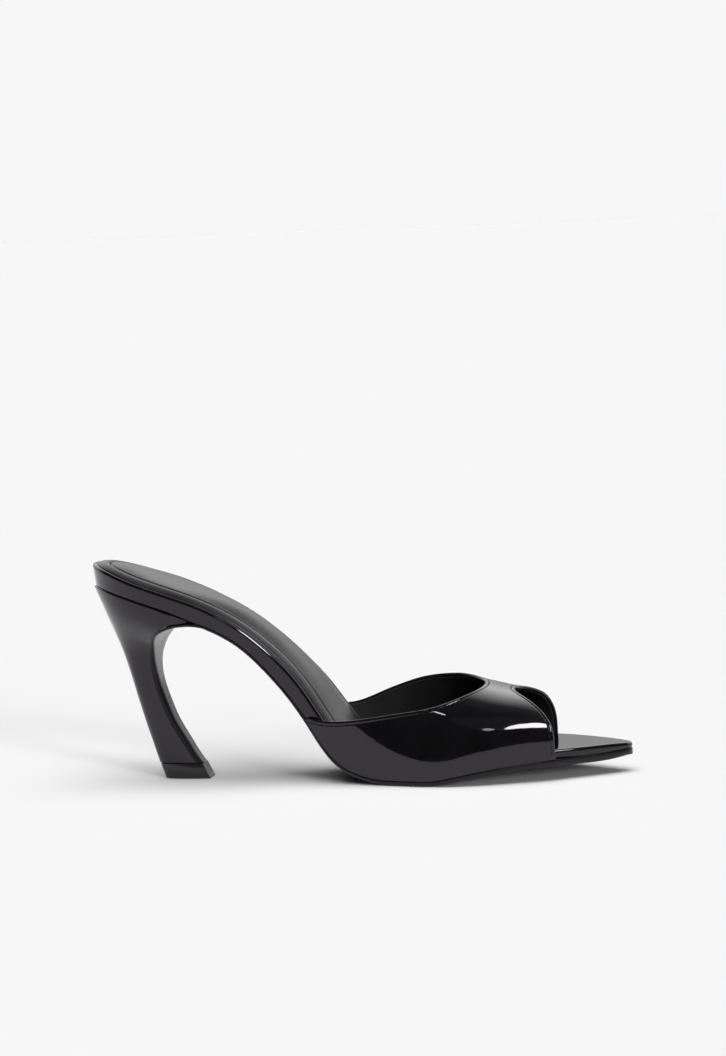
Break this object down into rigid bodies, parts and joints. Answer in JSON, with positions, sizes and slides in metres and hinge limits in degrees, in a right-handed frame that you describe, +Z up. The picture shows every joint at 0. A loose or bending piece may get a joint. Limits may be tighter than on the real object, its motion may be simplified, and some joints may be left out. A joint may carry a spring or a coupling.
{
  "type": "mule",
  "caption": "Right-foot open-toe mule with a wide patent vamp, padded insole, slim curved high heel and a thin sole that carries on down the front of the heel.",
  "frame": {"origin": "on the floor, under the middle of the shoe's bounding box", "axes": "+X towards the toe, +Y towards the inner (medial) side of the foot, +Z up"},
  "size_m": [0.2247, 0.0782, 0.0925],
  "materials": {
    "patent_upper": "black patent, high gloss",
    "patent_wrap": "black patent, high gloss",
    "insole_leather": "dark grey, fine grain, satin",
    "sole": "black, satin edge",
    "patent_heel": "black patent over a hard block, high gloss",
    "tip_plastic": "black, semi-gloss"
  },
  "bodies": {
    "root": {"upper": "patent_upper", "footbed": "patent_wrap", "insole": "insole_leather", "outsole": "sole", "heel": "patent_heel", "heel_tip": "tip_plastic"}
  },
  "joints": []
}
